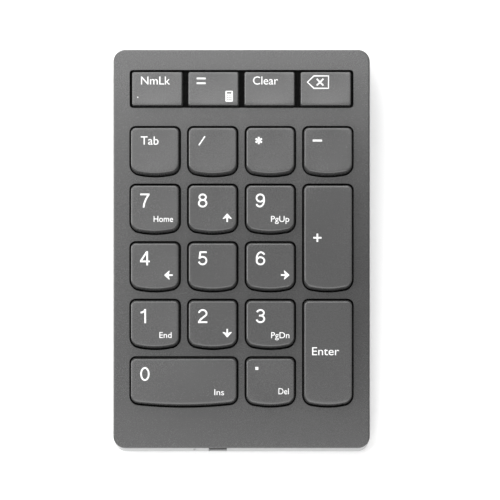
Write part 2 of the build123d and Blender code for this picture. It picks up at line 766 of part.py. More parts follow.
with BuildPart() as battery:
    with BuildSketch(Plane.XY.offset(FLOOR_TOP + TAPE)):
        with Locations((0, BATTERY_Y)):
            Rectangle(BATTERY[0], BATTERY[1])
    extrude(amount=BATTERY[2])
    fillet(battery.edges().filter_by(Axis.Y), 1.2)
save(battery, "battery")

LEAD_LOW = FLOOR_TOP + TAPE + BATTERY[2] / 2
LEAD_HIGH = BOARD_Z + BOARD_THICK + BATTERY_CONNECTOR[2] / 2
BATTERY_REAR = BATTERY_Y + BATTERY[1] / 2
LEAD_ROUND = 1.6
with BuildPart() as battery_leads:
    for x in (-LEAD_PITCH / 2, LEAD_PITCH / 2):
        with BuildLine() as lead_path:
            FilletPolyline(
                (x, BATTERY_REAR, LEAD_LOW),
                (x, BATTERY_REAR + 2.3, LEAD_LOW),
                (x, BATTERY_CONNECTOR_FRONT - 2.2, LEAD_HIGH),
                (x, BATTERY_CONNECTOR_FRONT, LEAD_HIGH),
                radius=LEAD_ROUND,
            )
        with BuildSketch(Plane((x, BATTERY_REAR, LEAD_LOW), z_dir=(0, 1, 0))):
            Circle(LEAD_RADIUS)
        sweep(path=lead_path.line)
save(battery_leads, "battery_leads")

# ---- switch board, slide switch and status light ----------------------------------------------
with BuildPart() as switch_board:
    with BuildSketch(Plane.XY.offset(SWITCH_BOARD_Z)):
        with Locations((SWITCH_BOARD_X, SWITCH_BOARD_Y)):
            RectangleRounded(*SWITCH_BOARD, BOARD_CORNER)
    extrude(amount=SWITCH_BOARD_THICK)
save(switch_board, "switch_board")

SWITCH_BODY = (7.0, 2.6, 1.45)
SWITCH_BODY_FRONT = FRONT_INSIDE + 0.9
SWITCH_SLOT = (5.4, 1.2, 1.1)
SLOT_Z = 3.33
with BuildPart() as slide_switch_body:
    with BuildSketch(Plane.XY.offset(SWITCH_BOARD_Z)):
        with Locations((SWITCH_X, SWITCH_BODY_FRONT + SWITCH_BODY[1] / 2)):
            Rectangle(SWITCH_BODY[0], SWITCH_BODY[1])
    extrude(amount=-SWITCH_BODY[2])
    slot_middle = (SWITCH_X, SWITCH_BODY_FRONT, SLOT_Z)
    with BuildSketch(Plane(slot_middle, x_dir=(1, 0, 0), z_dir=(0, -1, 0))):
        Rectangle(SWITCH_SLOT[0], SWITCH_SLOT[2])
    extrude(amount=-SWITCH_SLOT[1], mode=Mode.SUBTRACT)
save(slide_switch_body, "slide_switch_body")

BEZEL_FACE = 0.85  # stands out of the front edge
BEZEL_ROUND = 0.45
KNOB_PLAY = 0.3
KNOB_SLOT = (KNOB[0] + 2 * SWITCH_TRAVEL + KNOB_PLAY, KNOB[1] + KNOB_PLAY)
with BuildPart() as switch_bezel:
    with BuildSketch(SWITCH_FACE.offset(-CASE_WALL)):
        with Locations((SWITCH_X, 0)):
            RectangleRounded(SWITCH_WINDOW[0] - SLIDE_FIT, SWITCH_WINDOW[1] - SLIDE_FIT, BEZEL_ROUND)
    extrude(amount=CASE_WALL + BEZEL_FACE)
    bezel_face = switch_bezel.faces().sort_by(Axis((0, 0, 0), SWITCH_FACE.z_dir))[-1]
    fillet(bezel_face.edges(), BEZEL_ROUND)
    with BuildSketch(SWITCH_FACE.offset(-CASE_WALL)):
        with Locations((SWITCH_X, 0)):
            Rectangle(*KNOB_SLOT)
    extrude(amount=CASE_WALL + BEZEL_FACE, mode=Mode.SUBTRACT)
save(switch_bezel, "switch_bezel")

TONGUE = (1.4, 0.5)
TONGUE_END = 3.4
KNOB_RIDGES = 3
RIDGE_WIDTH = 0.4
RIDGE_HEIGHT = 0.2
with BuildPart() as switch_knob:
    with BuildSketch(SWITCH_FACE.offset(-CASE_WALL)):
        with Locations((SWITCH_X, 0)):
            Rectangle(*KNOB)
    extrude(amount=CASE_WALL + BEZEL_FACE - RIDGE_HEIGHT)
    with BuildSketch(SWITCH_FACE.offset(BEZEL_FACE - RIDGE_HEIGHT)):
        with Locations((SWITCH_X, 0)):
            with GridLocations(KNOB[0] / KNOB_RIDGES, 1, KNOB_RIDGES, 1):
                Rectangle(RIDGE_WIDTH, KNOB[1])
    extrude(amount=RIDGE_HEIGHT)
    with BuildSketch(SWITCH_FACE.offset(-TONGUE_END)):
        with Locations((SWITCH_X, 0)):
            Rectangle(*TONGUE)
    extrude(amount=TONGUE_END - CASE_WALL)
save(switch_knob, "switch_knob")

PIPE_TAIL = 0.7  # the pipe past the wall's inner face
PIPE_FLANGE = 0.45
with BuildPart() as status_light_pipe:
    with BuildSketch(SWITCH_FACE.offset(-CASE_WALL - PIPE_TAIL)):
        with Locations((STATUS_X, 0)):
            Circle(STATUS_RADIUS)
    extrude(amount=CASE_WALL + PIPE_TAIL + BEZEL_FACE - SLIDE_FIT)
    with BuildSketch(SWITCH_FACE.offset(-CASE_WALL - PIPE_FLANGE - PRESS_FIT)):
        with Locations((STATUS_X, 0)):
            Circle(2 * STATUS_RADIUS)
    extrude(amount=PIPE_FLANGE)
save(status_light_pipe, "status_light_pipe")

with BuildPart() as status_led:
    with BuildSketch(Plane.XY.offset(SWITCH_BOARD_Z)):
        with Locations((STATUS_X, SWITCH_BODY_FRONT + 0.5)):
            Rectangle(SIDE_LED[0], SIDE_LED[1])
    extrude(amount=-SIDE_LED[2])
save(status_led, "status_led")

CABLE = (3.0, 0.2)
CABLE_X = -22.0
CABLE_FLOOR = FLOOR_TOP + CABLE[1]
CABLE_START = SWITCH_BOARD_Z + SWITCH_BOARD_THICK + CABLE[1] / 2
CABLE_END = BOARD_Z + BOARD_THICK + CABLE[1] / 2
with BuildPart() as switch_cable:
    with BuildSketch(Plane.YZ.offset(CABLE_X - CABLE[0] / 2)):
        with BuildLine() as cable_path:
            FilletPolyline(
                (SWITCH_BOARD_Y + 1.0, CABLE_START),
                (SWITCH_BOARD_Y + 3.8, CABLE_START),
                (SWITCH_BOARD_Y + 6.4, CABLE_FLOOR),
                (BOARD_FRONT - 3.4, CABLE_FLOOR),
                (BOARD_FRONT - 0.8, CABLE_END),
                (BOARD_FRONT + 2.2, CABLE_END),
                radius=0.8,
            )
        trace(line_width=CABLE[1])
    extrude(amount=CABLE[0])
save(switch_cable, "switch_cable")

# ---- feet and screws --------------------------------------------------------------------------
with BuildPart() as rubber_feet:
    with BuildSketch(Plane.XY):
        with Locations(*FOOT_SPOTS):
            Circle(FOOT_RADIUS)
    extrude(amount=BASE_CLEARANCE + FOOT_RECESS)
    foot_faces = rubber_feet.faces().sort_by(Axis.Z)[: len(FOOT_SPOTS)]
    fillet(foot_faces.edges(), FOOT_ROUND)
save(rubber_feet, "rubber_feet")


def cross_head(plane, radius, height, shank_radius, shank_length):
    """A screw whose head hangs below the plane and whose shank rises above it."""
    with BuildPart() as screw:
        with BuildSketch(plane):
            Circle(radius)
        extrude(amount=-height)
        with BuildSketch(plane.offset(-height)):
            Rectangle(1.3 * radius, 0.3 * radius)
            Rectangle(0.3 * radius, 1.3 * radius)
        extrude(amount=height / 2, mode=Mode.SUBTRACT)
        with BuildSketch(plane):
            Circle(shank_radius)
        extrude(amount=shank_length)
    return screw.part


case_screw = cross_head(
    Plane.XY, HEAD_RADIUS, HEAD_HEIGHT, SCREW_RADIUS - PRESS_FIT, SCREW_LENGTH
)
plate_screw = cross_head(
    Plane.XY, PLATE_HEAD_RADIUS, PLATE_HEAD_HEIGHT, PLATE_SCREW_RADIUS - PRESS_FIT, PLATE_SCREW_LENGTH
)
board_screw = cross_head(
    Plane.XY,
    PLATE_HEAD_RADIUS,
    PLATE_HEAD_HEIGHT,
    BOARD_SCREW_RADIUS,
    BOARD_THICK + BOARD_SCREW_LENGTH - 0.2,
)

with BuildPart() as case_screws:
    with Locations(below(SCREW_SEAT)):
        with Locations(*CASE_SCREW_SPOTS):
            add(case_screw)
save(case_screws, "case_screws")

with BuildPart() as plate_screws:
    with Locations(below(PLATE_TOP + PLATE)):
        with Locations(*PLATE_SCREW_SPOTS):
            add(plate_screw)
save(plate_screws, "plate_screws")

with BuildPart() as board_screws:
    with Locations(Plane(BOARD_TOP.origin, x_dir=(1, 0, 0), z_dir=(0, 0, -1))):
        with Locations(*[(x, -y) for x, y in BOARD_POSTS]):
            add(board_screw)
save(board_screws, "board_screws")
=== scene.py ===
# %% [markdown]
# # A numeric keypad
#
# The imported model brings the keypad's real parts in their real places: two case halves, the key
# mechanism and twenty-one caps. This lesson keeps those places and builds better skins for the
# pieces that are seen: a painted deck with softened wells, dished caps with printed legends, and a
# lower shell of fine-grained plastic. Every number below is in millimetres until it is scaled.

import json
import math

import bmesh
import bpy
from mathutils import Matrix, Vector
from mathutils.bvhtree import BVHTree


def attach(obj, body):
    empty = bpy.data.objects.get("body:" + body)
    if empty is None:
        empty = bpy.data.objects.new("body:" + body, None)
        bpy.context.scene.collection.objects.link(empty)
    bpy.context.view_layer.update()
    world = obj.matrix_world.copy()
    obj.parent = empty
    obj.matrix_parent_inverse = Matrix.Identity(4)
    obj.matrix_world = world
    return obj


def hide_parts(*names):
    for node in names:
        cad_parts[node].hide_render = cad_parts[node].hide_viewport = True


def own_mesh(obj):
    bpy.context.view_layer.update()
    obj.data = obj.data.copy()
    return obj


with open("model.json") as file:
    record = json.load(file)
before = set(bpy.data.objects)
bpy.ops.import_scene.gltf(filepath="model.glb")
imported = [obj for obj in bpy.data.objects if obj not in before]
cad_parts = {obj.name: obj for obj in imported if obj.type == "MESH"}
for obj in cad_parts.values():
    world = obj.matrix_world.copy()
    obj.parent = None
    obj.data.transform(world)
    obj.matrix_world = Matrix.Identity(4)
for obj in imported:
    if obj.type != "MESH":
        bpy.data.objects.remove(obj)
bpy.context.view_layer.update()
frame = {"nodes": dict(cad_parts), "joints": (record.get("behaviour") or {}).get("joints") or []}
MM = 0.001

# %% [markdown]
# The deck leans towards the user, and the keys travel square to it. It would be slow to model every
# cap on a slope, so each deck piece is modelled on a level sheet whose zero is the middle of the
# deck's surface, and the finished mesh is leaned into place. The lean is read from a key's own
# travel direction, and the surface from the top cover's highest level.

# %% The deck's own frame
press = {j["child"]: j for j in frame["joints"]}
down = Vector(press["key_tab"]["axis"])
lean = math.atan2(down.y, -down.z)
LEAN = Matrix.Rotation(lean, 4, "X")


def level_points(node):
    """A node's vertices on the level sheet, in millimetres, before its zero is set."""
    flat = LEAN.inverted()
    return [flat @ v.co / MM for v in frame["nodes"][node].data.vertices]


cover_points = level_points("top_cover")
surface = max(p.z for p in cover_points)
middle_y = (max(p.y for p in cover_points) + min(p.y for p in cover_points)) / 2
ZERO = Vector((0, middle_y, surface))


def deck_box(node):
    """A node's lowest and highest corner on the level sheet."""
    points = [p - ZERO for p in level_points(node)]
    low = Vector([min(p[i] for p in points) for i in range(3)])
    high = Vector([max(p[i] for p in points) for i in range(3)])
    return low, high


TO_ROW = LEAN @ Matrix.Scale(MM, 4) @ Matrix.Translation(ZERO)
deck_low, deck_high = deck_box("top_cover")
print("lean", round(math.degrees(lean), 3), "deck", [round(x, 2) for x in deck_high - deck_low])

# %% [markdown]
# A finished mesh goes into the scene through one helper: it names the piece, says which body it
# rides on, which part of the model it stands for and which finish it takes. Every mesh is made on
# the level sheet and leaned here, so the objects themselves stay at the origin.

# %% A helper that puts a finished mesh into the scene
def finish_mesh(bm, name, body, finish, replaces=(), angle=40):
    """Turn a bmesh into a piece with a finish, riding on a body.

    Edges whose faces meet at more than angle degrees are shaded sharp.
    """
    mesh = bpy.data.meshes.new(name)
    bmesh.ops.recalc_face_normals(bm, faces=bm.faces[:])
    for face in bm.faces:
        face.smooth = True
    for edge in bm.edges:
        edge.smooth = len(edge.link_faces) == 2 and edge.calc_face_angle(0) < math.radians(angle)
    bm.to_mesh(mesh)
    bm.free()
    mesh.transform(TO_ROW)
    piece = bpy.data.objects.new(name, mesh)
    bpy.context.scene.collection.objects.link(piece)
    mesh.materials.append(finish)
    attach(piece, body)
    if replaces:
        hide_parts(*replaces)
    return piece


# %% [markdown]
# Finishes are made of shader nodes. Written as code, node trees are long, so one small class wraps
# a socket: adding, multiplying or comparing two of them adds the Math node that does it, and one
# method makes any other node. The recipes below then read like sums.

# %% Shader sums
class Socket:
    """A node's output that can be used in sums."""

    def __init__(self, tree, output):
        self.tree = tree
        self.output = output

    def sum(self, operation, first, second):
        """A Math node fed by two values, each a number or another socket."""
        node = self.tree.nodes.new("ShaderNodeMath")
        node.operation = operation
        for place, value in zip(node.inputs, (first, second)):
            if isinstance(value, Socket):
                self.tree.links.new(value.output, place)
            else:
                place.default_value = value
        return Socket(self.tree, node.outputs[0])

    def __add__(self, other):
        return self.sum("ADD", self, other)

    def __radd__(self, other):
        return self.sum("ADD", other, self)

    def __sub__(self, other):
        return self.sum("SUBTRACT", self, other)

    def __rsub__(self, other):
        return self.sum("SUBTRACT", other, self)

    def __mul__(self, other):
        return self.sum("MULTIPLY", self, other)

    def folded(self, length):
        """A zigzag between nought and length."""
        return self.sum("PINGPONG", self, length)

    def above(self, other):
        """One where this is greater, else nought."""
        return self.sum("GREATER_THAN", self, other)

    def limited(self):
        """Kept between nought and one."""
        node = self.sum("ADD", self, 0.0)
        node.output.node.use_clamp = True
        return node


class Finish:
    """A material whose shader is fed by sums."""

    def __init__(self, name, **settings):
        self.material = bpy.data.materials.new(name)
        self.material.use_nodes = True
        self.tree = self.material.node_tree
        self.shader = self.tree.nodes["Principled BSDF"]
        for socket, value in settings.items():
            self.shader.inputs[socket.replace("_", " ")].default_value = value

    def node(self, kind, settings=None, **inputs):
        """Any node: its settings first, then the values or links of its sockets."""
        made = self.tree.nodes.new(kind)
        for key, value in (settings or {}).items():
            setattr(made, key, value)
        for key, value in inputs.items():
            place = made.inputs[key.replace("_", " ")]
            if isinstance(value, Socket):
                self.tree.links.new(value.output, place)
            else:
                place.default_value = value
        return made

    def out(self, made, name=0):
        """One of a node's outputs, by name or number, ready for sums."""
        return Socket(self.tree, made.outputs[name])

    def place(self):
        """Where a point is on the object, in metres."""
        return self.out(self.node("ShaderNodeTexCoord"), "Object")

    def noise(self, size, detail=2.0, roughness=0.5):
        """Soft noise whose blots are about size millimetres across."""
        made = self.node(
            "ShaderNodeTexNoise",
            Vector=self.place(),
            Scale=1.0 / (size * MM),
            Detail=detail,
            Roughness=roughness,
        )
        return self.out(made, "Fac")

    def mix(self, share, first, second):
        """From the first colour to the second."""
        made = self.node("ShaderNodeMix", {"data_type": "RGBA"})
        for place, value in ((0, share), (6, first), (7, second)):  # the node's colour sockets
            if isinstance(value, Socket):
                self.tree.links.new(value.output, made.inputs[place])
            else:
                made.inputs[place].default_value = value
        return self.out(made, 2)

    def feed(self, socket, value):
        """Link a varying value to one of the shader's sockets."""
        self.tree.links.new(value.output, self.shader.inputs[socket])

    def bump(self, height, distance):
        """Raise the surface by up to distance millimetres."""
        made = self.node("ShaderNodeBump", Height=height, Distance=distance * MM, Strength=1.0)
        self.feed("Normal", self.out(made))


def grey(value, tint=0.0):
    """A neutral colour, a little cooler with tint."""
    return (value * (1 - tint), value, value * (1 + tint), 1.0)


# %% [markdown]
# The deck and the caps carry almost the same satin grey, a soft-touch paint over plastic: fine
# orange peel a third of a millimetre across, a very fine tooth that spreads the highlight, and
# faint blotches where hands rest. The caps are a shade lighter, and smoother, because fingers
# polish them.

# %% Painted greys
def satin_paint(name, colour, rough, peel, tooth):
    """Satin paint: peel and tooth are the heights of its coarse and its fine grain."""
    finish = Finish(name, Metallic=0.0, Specular_IOR_Level=0.95, Coat_Weight=0.0)
    blotch = finish.noise(22.0, 3.0)
    speckle = finish.noise(0.25, 2.0)
    shade = (blotch - 0.5) * 0.25 + (speckle - 0.5) * 0.5
    base = finish.mix((shade + 0.5).limited(), grey(colour * 0.85), grey(colour * 1.15))
    finish.feed("Base Color", base)
    finish.feed("Roughness", (rough + (blotch - 0.5) * 0.03 + (speckle - 0.5) * 0.05).limited())
    finish.bump(finish.noise(0.35, 2.0) * peel + finish.noise(0.09, 1.0) * tooth, 0.02)
    return finish.material


deck_paint = satin_paint("deck_paint", 0.040, 0.27, 0.5, 0.35)
cap_paint = satin_paint("cap_paint", 0.056, 0.27, 0.4, 0.3)
print("greys", deck_paint.name, cap_paint.name)

# %% [markdown]
# Most other pieces keep the model's own shape and only need the right surface. Moulded plastics
# and rubbers differ in colour, in how rough they are and in the grain that the mould left, so one
# recipe serves them all. A real moulding is never one flat tone: slow blotches and a fine speckle
# vary both its colour and its gloss.

# %% Moulded plastics and rubbers
def moulded(name, colour, rough, grain, depth, spread=0.12):
    """Plastic or rubber: grain is the texture's size and depth its height, in millimetres.

    Spread is how far the blotches lighten and darken the colour, as a share of it.
    """
    finish = Finish(name, Specular_IOR_Level=0.5)
    blotch = finish.noise(14.0, 3.0)
    speckle = finish.noise(grain * 1.7, 2.0)
    shade = ((blotch - 0.5) * 1.2 + (speckle - 0.5) * 0.8 + 0.5).limited()
    dark = (*[c * (1 - spread) for c in colour[:3]], 1.0)
    light = (*[c * (1 + spread) for c in colour[:3]], 1.0)
    finish.feed("Base Color", finish.mix(shade, dark, light))
    finish.feed("Roughness", (rough + (blotch - 0.5) * 0.12 + (speckle - 0.5) * 0.1).limited())
    finish.bump(finish.noise(grain, 2.0) + finish.noise(grain / 3, 1.0) * 0.4, depth)
    return finish.material


shell_silver = moulded("shell_silver", grey(0.46, 0.005), 0.34, 0.22, 0.010, 0.04)
nylon = moulded("lever_nylon", grey(0.030), 0.42, 0.4, 0.006)
dome_rubber = moulded("dome_rubber", grey(0.022), 0.62, 0.5, 0.006)
FINISHES = {
    "shell_silver": shell_silver,
    "foot_rubber": moulded("foot_rubber", grey(0.030), 0.72, 0.18, 0.02, 0.2),
    "chip_black": moulded("chip_black", grey(0.018), 0.55, 0.12, 0.008, 0.15),
    "connector_white": moulded(
        "connector_white", (0.74, 0.71, 0.62, 1.0), 0.45, 0.3, 0.008, 0.06
    ),
    "tape_foam": moulded("tape_foam", grey(0.055), 0.9, 0.3, 0.05, 0.25),
    "switch_black": moulded("switch_black", grey(0.012), 0.45, 0.25, 0.008),
    "lead_red": moulded("lead_red", (0.45, 0.02, 0.016, 1.0), 0.38, 0.5, 0.006),
    "cable_white": moulded("cable_white", grey(0.62), 0.42, 0.4, 0.006, 0.06),
    "led_body": moulded("led_body", (0.78, 0.74, 0.52, 1.0), 0.35, 0.3, 0.005, 0.06),
}
print("moulded finishes", len(FINISHES))

# %% [markdown]
# Metals take their colour from the reflection, so what matters is how that reflection is broken
# up. Rolled sheet has long fine scratches in one direction, which stretched noise gives; screws and
# cans have a zinc bloom, a patchy change of roughness. The plate below the keys is made near black:
# its dark colour is painted shade, so that the gaps between the keys stay dark.

# %% Metals
SCRATCHES = 2.5  # to a millimetre


def rolled(name, colour, rough, metallic, stretch, bloom):
    """Sheet or turned metal: stretch draws the scratches out along x, bloom makes it patchy."""
    finish = Finish(name, Metallic=metallic, Specular_IOR_Level=0.5)
    longer = finish.node("ShaderNodeMapping", Vector=finish.place(), Scale=(1 / stretch, 1.0, 1.0))
    fine = finish.node(
        "ShaderNodeTexNoise", Vector=finish.out(longer), Scale=SCRATCHES / MM, Detail=3.0
    )
    scratches = finish.out(fine, "Fac")
    patch = finish.noise(3.5, 4.0, 0.6)
    shade = ((scratches - 0.5) * 0.5 + (patch - 0.5) * bloom + 0.5).limited()
    dark = (*[c * 0.86 for c in colour[:3]], 1.0)
    light = (*[min(1.0, c * 1.1) for c in colour[:3]], 1.0)
    finish.feed("Base Color", finish.mix(shade, dark, light))
    uneven = (patch - 0.5) * bloom * 0.3 + (scratches - 0.5) * 0.12
    finish.feed("Roughness", (rough + uneven).limited())
    finish.bump(scratches, 0.003)
    return finish.material


FINISHES |= {
    # near black: painted shade that keeps the gaps between the keys dark
    "plate_steel": rolled("plate_steel", grey(0.012), 0.6, 0.3, 30.0, 0.6),
    "wire_steel": rolled("wire_steel", grey(0.55), 0.28, 1.0, 8.0, 0.3),
    "can_metal": rolled("can_metal", (0.62, 0.61, 0.58, 1.0), 0.32, 1.0, 12.0, 0.5),
    "socket_steel": rolled("socket_steel", grey(0.60, 0.01), 0.26, 1.0, 12.0, 0.3),
    "screw_steel": rolled("screw_steel", grey(0.13), 0.38, 0.9, 2.0, 0.9),
    "battery_foil": rolled("battery_foil", (0.56, 0.58, 0.60, 1.0), 0.34, 0.85, 2.5, 0.9),
}
print("finishes", len(FINISHES))

# %% [markdown]
# The membrane is three sheets of dark dull film with faint printed tracks, made near black as
# painted shade so that the gaps between the keys stay dark, and the boards are green lacquer over
# copper tracks. Both patterns are straight runs, so bands of a coordinate, switched on and off by a
# coarse checker, give a believable maze without drawing one. The clear pieces, a lens in a cap and
# the pipe of the status light, are milky plastic.

# %% Printed circuits and clear plastics
RUN = 5  # tracks that run side by side before the pattern turns


def circuit(name, ground, track, pitch, share, rough, gloss):
    """Tracks on a ground: pitch is their distance in millimetres, share how wide each one is."""
    finish = Finish(name, Specular_IOR_Level=gloss)
    where = finish.node("ShaderNodeSeparateXYZ", Vector=finish.place())
    checks = finish.node(
        "ShaderNodeTexChecker", Vector=finish.place(), Scale=1.0 / (pitch * RUN * MM)
    )
    patch = finish.out(checks, "Fac")
    along_x = finish.out(where, "X").folded(pitch * MM)
    along_y = finish.out(where, "Y").folded(pitch * MM)
    edge = pitch * MM * (1 - share)
    lines = patch * along_x.above(edge) + (1 - patch) * along_y.above(edge)
    mottle = finish.noise(2.0, 3.0)
    lacquer = finish.mix(mottle, ground, (*[c * 1.35 for c in ground[:3]], 1.0))
    finish.feed("Base Color", finish.mix(lines.limited(), lacquer, track))
    finish.feed("Roughness", (rough + (mottle - 0.5) * 0.15).limited())
    finish.bump(lines, 0.02)
    return finish.material


def clear(name, colour, rough, passing):
    """Milky clear plastic: passing is the share of light that goes through."""
    finish = Finish(name, Transmission_Weight=passing, IOR=1.49)
    swirl = finish.noise(1.2, 3.0)
    light = (*[min(1.0, c * 1.12) for c in colour[:3]], 1.0)
    finish.feed("Base Color", finish.mix(swirl, colour, light))
    finish.feed("Roughness", (rough + (swirl - 0.5) * 0.08).limited())
    finish.bump(finish.noise(0.3, 1.0), 0.003)
    return finish.material


FINISHES |= {
    # near-black dull film: painted shade that keeps the gaps between the keys dark
    "sheet_film": circuit("sheet_film", grey(0.008), grey(0.014), 1.1, 0.35, 0.75, 0.12),
    "board_green": circuit(
        "board_green", (0.012, 0.085, 0.035, 1.0), (0.03, 0.17, 0.07, 1.0), 0.5, 0.45, 0.35, 0.6
    ),
    "lens_clear": clear("lens_clear", grey(0.72), 0.3, 0.15),
    "pipe_smoke": clear("pipe_smoke", grey(0.35), 0.3, 0.4),
}

for piece in frame["nodes"].values():
    for slot in piece.material_slots:
        plain_name = slot.material.name.split(".")[0]
        if plain_name in FINISHES:
            slot.material = FINISHES[plain_name]
in_use = {s.material.name for o in frame["nodes"].values() for s in o.material_slots}
print("finishes in use", len(in_use))

# %% [markdown]
# Caps and wells share one outline: straight sides and rear edge, four round corners, and a front
# edge that bows towards the user. Both start from a cube whose upright corners are bevelled. The
# bow is added later, as a shift of the front half that grows with the square of the distance from
# the middle line, so that a cap and its well stay parallel.

# %% The outline of caps and wells
WELL_GAP = 0.5  # between a cap's skirt and its well
BOW = 1.37  # rise of a well's front edge from its middle to its side
WIDE_BOW = 1.14
SKIRT_END = -0.9  # the lower end of a cap's skirt, from the deck's surface
WIDE_SHAPE = 1.5  # a wide cap is more than this many times as wide as it is deep
FUNCTION_HALF = 6.5  # half the depth of a cap, which only function keys stay under


def upright(edge):
    """Whether an edge runs straight up."""
    run = edge.verts[0].co - edge.verts[1].co
    return abs(run.x) < 1e-4 and abs(run.y) < 1e-4


def rounded_block(low, high, rear_corner, front_corner, steps=8):
    """A block with rounded upright corners."""
    bm = bmesh.new()
    bmesh.ops.create_cube(bm, size=1.0)
    bmesh.ops.scale(bm, vec=high - low, verts=bm.verts)
    bmesh.ops.translate(bm, vec=(low + high) / 2, verts=bm.verts)
    middle = (low.y + high.y) / 2
    for radius, rear in ((rear_corner, True), (front_corner, False)):
        corners = [e for e in bm.edges if upright(e) and (e.verts[0].co.y > middle) == rear]
        corners = [e for e in corners if e.calc_face_angle(0) > 1.0]
        bmesh.ops.bevel(
            bm,
            geom=corners,
            offset=radius,
            segments=steps,
            profile=0.5,
            affect="EDGES",
        )
    return bm


def slice_across(bm, axis, places):
    """Cut every face along planes square to an axis, so that the shape can bend there."""
    normal = Vector([float(i == axis) for i in range(3)])
    for place in places:
        bmesh.ops.bisect_plane(
            bm,
            geom=bm.verts[:] + bm.edges[:] + bm.faces[:],
            dist=1e-4,
            plane_co=normal * place,
            plane_no=normal,
        )


def steps_between(low, high, pitch):
    """Evenly spaced places strictly between two ends, about a pitch apart."""
    count = max(2, round((high - low) / pitch))
    return [low + (high - low) * n / count for n in range(1, count)]


class Key:
    """One key's cap box on the level sheet and the bow of its front edge."""

    def __init__(self, name):
        self.name = name
        self.node = "keycap_" + name
        self.low, self.high = deck_box(self.node)
        self.low.z = SKIRT_END
        self.middle = (self.low + self.high) / 2
        self.half = (self.high - self.low) / 2
        self.function = self.half.y < FUNCTION_HALF
        wide = self.half.x > WIDE_SHAPE * self.half.y
        self.bow = 0.0 if self.function else (WIDE_BOW if wide else BOW)

    def bow_at(self, x):
        """How far the front edge lies behind its foremost point, at one x."""
        return self.bow * ((x - self.middle.x) / (self.half.x + WELL_GAP)) ** 2


KEYS = [
    Key(node.removeprefix("keycap_")) for node in frame["nodes"] if node.startswith("keycap_")
]
print("keys", len(KEYS), "function row", [k.name for k in KEYS if k.function])

# %% [markdown]
# The deck is one moulding. It begins as a slab with round corners and a softened rim. Cutters
# shaped like the wells are taken away with the Boolean modifier, then another cutter hollows it
# from below, and a Bevel modifier softens only the square edges that the cutters left. A bevel on
# the real mould's edges is what draws the fine light line around each well. The wide flat face is
# then inset a little, so that the softened edges don't tilt its shading.

# %% The deck
RIM = deck_box("bottom_cover")[1].z  # the parting line, below the surface
DECK_CORNER = 4.0
DECK_PLATE = 1.5
CASE_WALL = 1.6
RIM_ROUND = 0.5
WELL_ROUND = 0.16
ROW_SIDE = 0.76  # from the function row's caps to the sides of their shared well
ROW_FRONT = 0.5
ROW_REAR = 0.66
ROW_CORNER = 1.1
WELL_SLICE = 1.2  # length of the pieces that a well's front edge bends in
CUT_LOW = -4.0  # the well cutters reach past the deck's plate, below and above
CUT_HIGH = 1.0
HOLLOW_LOW = -6.0  # below the deck's rim
FLAT_INSET = 0.06
SQUARE_EDGE = math.radians(50)  # an edge that turns by more than this is softened


def add_mesh(bm, name):
    """A scratch object for modifiers."""
    mesh = bpy.data.meshes.new(name)
    bm.to_mesh(mesh)
    bm.free()
    scratch = bpy.data.objects.new(name, mesh)
    bpy.context.scene.collection.objects.link(scratch)
    return scratch


def join_into(bm, other):
    """Add another bmesh's faces to bm."""
    mesh = bpy.data.meshes.new("joined")
    other.to_mesh(mesh)
    other.free()
    bm.from_mesh(mesh)
    bpy.data.meshes.remove(mesh)


def cut_and_soften(body, cutters, width, segments):
    """Take the cutters away from body, soften the square edges and return the result."""
    for cutter in cutters:
        boolean = body.modifiers.new("cut", "BOOLEAN")
        boolean.operation = "DIFFERENCE"
        boolean.solver = "EXACT"
        boolean.use_self = False
        boolean.object = cutter
    bevel = body.modifiers.new("soften", "BEVEL")
    bevel.width = width
    bevel.segments = segments
    bevel.limit_method = "ANGLE"
    bevel.angle_limit = SQUARE_EDGE
    bevel.miter_outer = "MITER_ARC"
    bevel.use_clamp_overlap = True
    bpy.context.view_layer.update()
    depsgraph = bpy.context.evaluated_depsgraph_get()
    shape = bpy.data.meshes.new_from_object(body.evaluated_get(depsgraph))
    bm = bmesh.new()
    bm.from_mesh(shape)
    bpy.data.meshes.remove(shape)
    for scratch in [body, *cutters]:
        bpy.data.objects.remove(scratch)
    bmesh.ops.remove_doubles(bm, verts=bm.verts, dist=1e-4)
    return bm


def well_cutter(low, high, bow_at, rear_corner=2.1, front_corner=2.7):
    """The empty space of a well, taller than the deck is thick."""
    bm = rounded_block(low, high, rear_corner, front_corner)
    slice_across(bm, 0, steps_between(low.x, high.x, WELL_SLICE))
    middle = (low.y + high.y) / 2
    for vert in bm.verts:
        if vert.co.y < middle:
            vert.co.y += bow_at(vert.co.x)
    return bm


slab = rounded_block(
    Vector((deck_low.x, deck_low.y, RIM)),
    Vector((deck_high.x, deck_high.y, 0)),
    DECK_CORNER,
    DECK_CORNER,
    steps=14,
)
top_face = max(slab.faces, key=lambda face: face.calc_center_median().z)
bmesh.ops.bevel(
    slab, geom=top_face.edges[:], offset=RIM_ROUND, segments=5, profile=0.5, affect="EDGES"
)

row = [key for key in KEYS if key.function]
row_left = min(key.low.x for key in row) - ROW_SIDE
row_right = max(key.high.x for key in row) + ROW_SIDE
row_low = Vector((row_left, row[0].low.y - ROW_FRONT, CUT_LOW))
row_high = Vector((row_right, row[0].high.y + ROW_REAR, CUT_HIGH))
wells = rounded_block(row_low, row_high, ROW_CORNER, ROW_CORNER)
for key in KEYS:
    if not key.function:
        low = Vector((key.low.x - WELL_GAP, key.low.y - WELL_GAP, CUT_LOW))
        high = Vector((key.high.x + WELL_GAP, key.high.y + WELL_GAP, CUT_HIGH))
        join_into(wells, well_cutter(low, high, key.bow_at))

